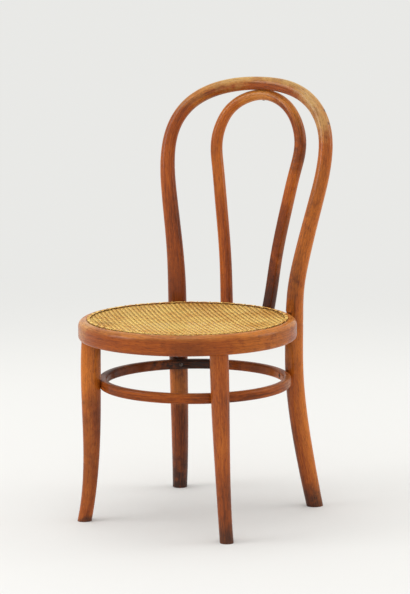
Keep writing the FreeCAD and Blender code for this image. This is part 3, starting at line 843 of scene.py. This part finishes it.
class CHAIR_OT_back_frame(bpy.types.Operator):
    """Dress the rear legs and the back hoop, one bent rod"""

    bl_idname = "chair.back_frame"
    bl_label = "Back frame"

    def execute(self, context):
        rod = merged_copy("back_frame")
        lay_straight(rod, mirrored_line(BACK_LINE))
        patches = (
            # Wear with a painted sheen on the right shoulder, and painted light on the top of the crown and on
            # the left shoulder
            ("wear_and_sheen", (0.135, 0.19, 0.815), 0.055, 0.9, 0.3, 0.65),
            ("olive", (-0.07, 0.235, 0.845), 0.06, 0.9, 0.4, 0.6),
            ("gold", (-0.13, 0.21, 0.80), 0.05, 0.9, 0.4, 0.4),
            ("wear_and_sheen", (0.168, 0.175, 0.765), 0.050, 0.9, 0.3, 0.6),
            # Painted light on the outer side of the right post
            ("amber", (0.175, 0.15, 0.64), 0.12, 0.9, 0.3, 0.5),
            ("amber", (0.16, 0.13, 0.52), 0.12, 0.9, 0.3, 0.55),
            ("amber", (0.15, 0.12, 0.33), 0.09, 0.9, 0.3, 0.6),
            # Painted shade where the inner hoop meets the crown
            ("umber", (0.0, 0.236, 0.812), 0.022, 0.9, 0.3, 0.7),
            # Painted light on the lower left post
            ("amber", (-0.14, 0.13, 0.22), 0.06, 0.9, 0.3, 0.6),
            # Small dark marks on the right shoulder
            ("umber", (0.1645, 0.1973, 0.7805), 0.0068, 0.7, 0.5, 1.2),
            ("umber", (0.180, 0.186, 0.758), 0.005, 0.8, 0.6, 0.9),
            # Painted light on the right post, and painted shade on the inner side of the left post by the seat
            ("amber", (0.145, 0.12, 0.42), 0.06, 0.9, 0.3, 0.25),
            ("umber", (-0.135, 0.12, 0.42), 0.13, 0.9, 0.3, 0.5),
            # Darker where the left post meets the foot ring
            ("grime_and_shade", (-0.135, 0.11, 0.285), 0.035, 0.8, 0.4, 0.85),
            # Darker rear feet
            ("grime_and_shade", (-0.159, 0.172, 0.0), 0.112, 0.9, 0.3, 1.1),
            ("umber", (-0.15, 0.16, 0.08), 0.10, 0.9, 0.3, 0.25),
            ("grime_and_shade", (0.159, 0.172, -0.005), 0.075, 0.9, 0.3, 0.95),
        )
        # The upward faces of the crown are painted lighter, as painted light from above with wear, and the
        # outside of the rod lighter than its inside, as painted light and shade
        paint(rod, make_wood(
            "Bent back wood", rod_place, 0.0, warmth=0.48, patches=patches,
            worn_and_lit_top=("olive", 0.74, 0.84, 1.0), painted_side_shading=0.36,
        ))
        finish_piece(rod, "back_frame_wood", "back_frame_wood", "back_frame")
        return {"FINISHED"}


class CHAIR_OT_inner_hoop(bpy.types.Operator):
    """Dress the inner hoop, a thinner bent rod"""

    bl_idname = "chair.inner_hoop"
    bl_label = "Inner hoop"

    def execute(self, context):
        rod = merged_copy("inner_hoop")
        lay_straight(rod, mirrored_line(HOOP_LINE))
        patches = (
            # Painted shade on the right leg of the hoop, on its outer side and towards the seat
            ("umber", (0.060, 0.18, 0.42), 0.10, 0.8, 0.3, 1.0),
            ("umber", (0.073, 0.20, 0.53), 0.09, 0.9, 0.3, 0.6),
            ("grime_and_shade", (0.055, 0.175, 0.39), 0.075, 0.9, 0.3, 0.7),
            ("umber", (0.112, 0.215, 0.69), 0.055, 0.9, 0.4, 0.8),
            # Painted light on the crown of the hoop and on its left leg
            ("gold", (-0.01, 0.23, 0.80), 0.065, 0.9, 0.3, 0.7),
            ("amber", (-0.087, 0.21, 0.65), 0.09, 0.9, 0.3, 0.45),
        )
        # The upward faces of the crown are painted golden, as painted light from above, and the outside of the
        # rod lighter than its inside, as painted light and shade
        paint(rod, make_wood(
            "Bent hoop wood", rod_place, 0.31, warmth=0.52, patches=patches,
            worn_and_lit_top=("gold", 0.68, 0.79, 1.0), painted_side_shading=0.15,
        ))
        finish_piece(rod, "inner_hoop_wood", "inner_hoop_wood", "inner_hoop")
        return {"FINISHED"}


class CHAIR_OT_front_legs(bpy.types.Operator):
    """Dress the two front legs"""

    bl_idname = "chair.front_legs"
    bl_label = "Front legs"

    def execute(self, context):
        legs = (
            ("right", 1, 0.57, 0.06, (
                # Painted shade at the top of the right leg, under the seat ring
                ("grime_and_shade", (0.145, -0.16, 0.36), 0.016, 0.7, 0.3, 0.8),
                # Darker low on the right leg
                ("umber", (0.15, -0.15, 0.10), 0.05, 0.9, 0.4, 0.3),
            )),
            ("left", -1, 0.83, 0.02, (
                # Painted light on the outer side of the left leg
                ("amber", (-0.16, -0.175, 0.31), 0.09, 0.9, 0.3, 1.0),
                # Painted shade on the inner side of the left leg and under the seat ring
                ("umber", (-0.135, -0.15, 0.34), 0.03, 0.9, 0.4, 0.5),
                ("umber", (-0.135, -0.15, 0.22), 0.05, 0.9, 0.4, 0.45),
                # Darker lower down the left leg
                ("umber", (-0.15, -0.16, 0.17), 0.09, 0.9, 0.4, 0.3),
                ("umber", (-0.155, -0.165, 0.09), 0.08, 0.9, 0.4, 0.3),
            )),
        )
        for side, sign, seed, foot, patches in legs:
            leg = merged_copy("front_leg_" + side)
            lay_straight(leg, [(sign * x, y, z) for x, y, z in FRONT_LEG_LINE])
            paint(leg, make_wood(
                "Front leg wood " + side, rod_place, seed, warmth=0.44, patches=patches, foot=foot,
            ))
            finish_piece(leg, "front_leg_" + side + "_wood", "front_leg_wood", "front_leg_" + side)
        return {"FINISHED"}


class CHAIR_OT_rings(bpy.types.Operator):
    """Paint the seat ring, the foot ring and the blocks over the front legs"""

    bl_idname = "chair.rings"
    bl_label = "Rings and blocks"

    def execute(self, context):
        low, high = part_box("foot_ring")
        foot_centre = (0.0, (low.y + high.y) / 2, (low.z + high.z) / 2)
        seat_centre = (0.0, SEAT_Y, SEAT_RING_HEIGHT)
        seat_patches = (
            ("wear_and_sheen", (-0.13, -0.19, 0.398), 0.06, 0.9, 0.4, 0.3),
            ("amber", (0.2, -0.04, 0.385), 0.08, 0.9, 0.4, 0.5),
            ("amber", (0.198, -0.115, 0.37), 0.07, 0.9, 0.4, 0.5),
            ("umber", (0.12, -0.215, 0.360), 0.06, 0.9, 0.4, 0.5),
            ("grey", (-0.205, -0.07, 0.385), 0.05, 0.9, 0.4, 0.25),
            ("umber", (-0.20, -0.09, 0.37), 0.06, 0.9, 0.4, 0.3),
        )
        # The top of the seat ring is painted golden, as painted light from above together with wear
        seat_wood = make_wood(
            "Seat ring wood", ring_place(SEAT_RING_RADIUS, seat_centre), 1.1, warmth=0.36, contrast=0.5,
            patches=seat_patches, worn_and_lit_top=("gold", 0.374, 0.392, 0.65), roughness=0.4, grain=0.7, coat=0.38,
        )
        paint(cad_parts["seat_ring"], seat_wood)
        foot_patches = (
            ("umber", (-0.165, 0.03, 0.268), 0.08, 0.9, 0.3, 0.7),
            ("umber", (0.05, 0.165, 0.268), 0.08, 0.9, 0.3, 0.6),
            ("grime_and_shade", (-0.100, 0.135, 0.268), 0.11, 0.7, 0.3, 1.2),
            ("grey", (0.16, 0.04, 0.268), 0.06, 0.8, 0.4, 0.2),
            ("umber", (-0.17, -0.06, 0.268), 0.09, 0.8, 0.3, 1.0),
        )
        foot_wood = make_wood(
            "Foot ring wood", ring_place(FOOT_RING_RADIUS, foot_centre), 1.7, warmth=0.40,
            patches=foot_patches, worn_and_lit_top=("grey", 0.262, 0.275, 0.15), coat=0.25,
        )
        paint(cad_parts["foot_ring"], foot_wood)
        for side in ("right", "left"):
            block_wood = make_wood("Block wood " + side, plain_place, 2.3, warmth=0.3)
            paint(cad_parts["leg_block_" + side], block_wood)
        return {"FINISHED"}


class CHAIR_OT_fasteners(bpy.types.Operator):
    """Paint the bolts, washers, nuts and screws"""

    bl_idname = "chair.fasteners"
    bl_label = "Fasteners"

    def execute(self, context):
        bolt_steel = make_steel("Bolt steel", BOLT_TINT)
        screw_steel = make_steel("Screw steel", SCREW_TINT)
        for node in ("post_bolts", "post_bolt_washers", "post_bolt_nuts"):
            paint(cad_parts[node], bolt_steel)
        for node in ("inner_hoop_screws", "crown_screw", "foot_ring_screws"):
            paint(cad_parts[node], screw_steel)
        return {"FINISHED"}


class CHAIR_OT_weave(bpy.types.Operator):
    """Weave the cane: pairs both ways, over and under, locked by a strand on each diagonal"""

    bl_idname = "chair.weave"
    bl_label = "Woven cane"

    def execute(self, context):
        sizes = context.scene.chair_sizes
        pitch, spread, radius = sizes.hole_spacing, sizes.pair_spread, sizes.weave_radius
        levels = weave_levels()
        profile = strip_profile("strand_profile", sizes.strand_width, sizes.strand_thickness)
        rows = int(radius / pitch) + 1
        pairs = {"cane_front_to_back": [], "cane_side_to_side": []}
        for row in range(-rows, rows + 1):
            for side in (-1, 1):
                offset = row * pitch + side * spread / 2
                if abs(offset) > radius - RIM_ROOM:
                    continue
                half = math.sqrt(radius ** 2 - offset ** 2)
                if half < pitch:
                    continue
                upright = straight_strand_knots(half, spread, pitch, side > 0)
                level = straight_strand_knots(half, spread, pitch, side < 0)
                pairs["cane_front_to_back"].append(strand_points(
                    upright, half, levels, lambda at, z: hang(offset, at, z)))
                pairs["cane_side_to_side"].append(strand_points(
                    level, half, levels, lambda at, z: hang(at, offset, z)))
        for node, turn in (("cane_front_to_back", 0.0), ("cane_side_to_side", math.pi / 2)):
            piece = strips(node + "_woven", pairs[node], profile)
            paint(piece, make_cane("Cane " + node[5:].replace("_", " "), turn, CANE_PATCHES))
            finish_piece(piece, node + "_woven", "cane", node)
        slope = math.sqrt(0.5)
        middle = levels[1]
        for node, sign in (("cane_diagonal_left", -1), ("cane_diagonal_right", 1)):
            lines = []
            shift = sign * DIAGONAL_DIP * sizes.strand_thickness
            for row in range(-2 * rows, 2 * rows + 1):
                offset = row * pitch * slope
                if abs(offset) > radius - DIAGONAL_RIM_ROOM:
                    continue
                half = math.sqrt(radius ** 2 - offset ** 2)
                # The other diagonals cross at every second step. Even rows shift there, odd rows half way between
                step = pitch * slope / 2
                start = int(half / step) + 1
                points = [(-half, middle - DIAGONAL_END_DIP)]
                for k in range(-start, start + 1):
                    at = k * step
                    shifted = (k + row) % 2 == 0
                    if abs(at) < half - BEND_ROOM:
                        points.append((at, middle + (shift if shifted else 0.0)))
                points.append((half, middle - DIAGONAL_END_DIP))
                lines.append([
                    hang(slope * at - sign * slope * offset, sign * slope * at + slope * offset, z)
                    for at, z in points
                ])
            piece = strips(node + "_woven", lines, profile)
            paint(piece, make_cane("Cane " + node[5:].replace("_", " "), -sign * math.pi / 4, CANE_PATCHES))
            finish_piece(piece, node + "_woven", "cane", node)
        bpy.data.objects.remove(profile)
        return {"FINISHED"}


class CHAIR_OT_binder(bpy.types.Operator):
    """Lay the binder round the edge of the weave and tie it down"""

    bl_idname = "chair.binder"
    bl_label = "Binder and ties"

    def execute(self, context):
        sizes = context.scene.chair_sizes
        low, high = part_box("cane_binder")
        middle_z = (low.z + high.z) / 2
        middle_r = high.x - sizes.binder_width / 2
        profile = strip_profile("binder_profile", sizes.binder_width, high.z - low.z)
        count = sizes.ties * BINDER_POINTS_PER_TIE
        ring = []
        first_tie = math.pi / (2 * sizes.ties)
        for i in range(count):
            turn = 2 * math.pi * i / count
            wave = math.cos(sizes.ties * (turn - first_tie))
            r = middle_r - BINDER_WAVE * wave
            z = middle_z + BINDER_LIFT - BINDER_WAVE * wave
            ring.append((r * math.cos(turn), SEAT_Y + r * math.sin(turn), z))
        binder = strips("cane_binder_strip", [ring], profile, closed=True)
        paint(binder, make_cane("Binder cane", 0.0, CANE_PATCHES))
        finish_piece(binder, "cane_binder_strip", "binder_cane", "cane_binder")
        bpy.data.objects.remove(profile)

        profile = strip_profile("tie_profile", sizes.strand_width * 1.15, sizes.strand_thickness * 1.2)
        half = sizes.binder_width / 2
        top = high.z + 0.0003
        # A tie comes up beside the binder and goes down on its other side: distance from the middle, height
        path = (
            (-half - 0.0009, low.z - 0.0006), (-half - 0.0006, low.z + 0.0004), (-half * 0.8, top),
            (0.0, top + 0.0005), (half * 0.8, top), (half + 0.0006, low.z + 0.0004),
            (half + 0.0009, low.z - 0.0008),
        )
        lines = []
        for i in range(sizes.ties):
            turn = first_tie + 2 * math.pi * i / sizes.ties
            lines.append([
                ((middle_r + r) * math.cos(turn), SEAT_Y + (middle_r + r) * math.sin(turn), z)
                for r, z in path
            ])
        ties = strips("cane_tie_loops", lines, profile)
        paint(ties, make_cane("Tie cane", 0.6))
        finish_piece(ties, "cane_tie_loops", "binder_cane", "cane_ties")
        paint(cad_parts["cane_pegs"], make_cane("Peg cane", 0.3))
        bpy.data.objects.remove(profile)
        return {"FINISHED"}


class CHAIR_OT_stage(bpy.types.Operator):
    """Set up the pale floor, the soft lights and the camera"""

    bl_idname = "chair.stage"
    bl_label = "Studio"

    def execute(self, context):
        make_floor()
        make_surroundings()
        make_lamps()
        make_camera()
        context.scene.view_settings.view_transform = "Standard"
        return {"FINISHED"}


class CHAIR_PT_panel(bpy.types.Panel):
    """Sizes, colours and the pieces of the chair"""

    bl_label = "Bentwood chair"
    bl_idname = "CHAIR_PT_panel"
    bl_space_type = "VIEW_3D"
    bl_region_type = "UI"
    bl_category = "Chair"

    def draw(self, context):
        layout = self.layout
        for group in (context.scene.chair_sizes, context.scene.chair_colours):
            for name in group.__annotations__:
                layout.prop(group, name)
        for operator in OPERATORS:
            layout.operator(operator.bl_idname)


OPERATORS = (
    CHAIR_OT_materials, CHAIR_OT_back_frame, CHAIR_OT_inner_hoop, CHAIR_OT_front_legs, CHAIR_OT_rings,
    CHAIR_OT_fasteners, CHAIR_OT_weave, CHAIR_OT_binder, CHAIR_OT_stage,
)
CLASSES = (ChairSizes, ChairColours, *OPERATORS, CHAIR_PT_panel)


def register():
    for item in CLASSES:
        bpy.utils.register_class(item)
    bpy.types.Scene.chair_sizes = PointerProperty(type=ChairSizes)
    bpy.types.Scene.chair_colours = PointerProperty(type=ChairColours)


def unregister():
    del bpy.types.Scene.chair_colours
    del bpy.types.Scene.chair_sizes
    for item in reversed(CLASSES):
        bpy.utils.unregister_class(item)


def main():
    register()
    bpy.ops.chair.materials()
    bpy.ops.chair.back_frame()
    bpy.ops.chair.inner_hoop()
    bpy.ops.chair.front_legs()
    bpy.ops.chair.rings()
    bpy.ops.chair.fasteners()
    bpy.ops.chair.weave()
    bpy.ops.chair.binder()
    bpy.ops.chair.stage()


if __name__ == "__main__":
    main()
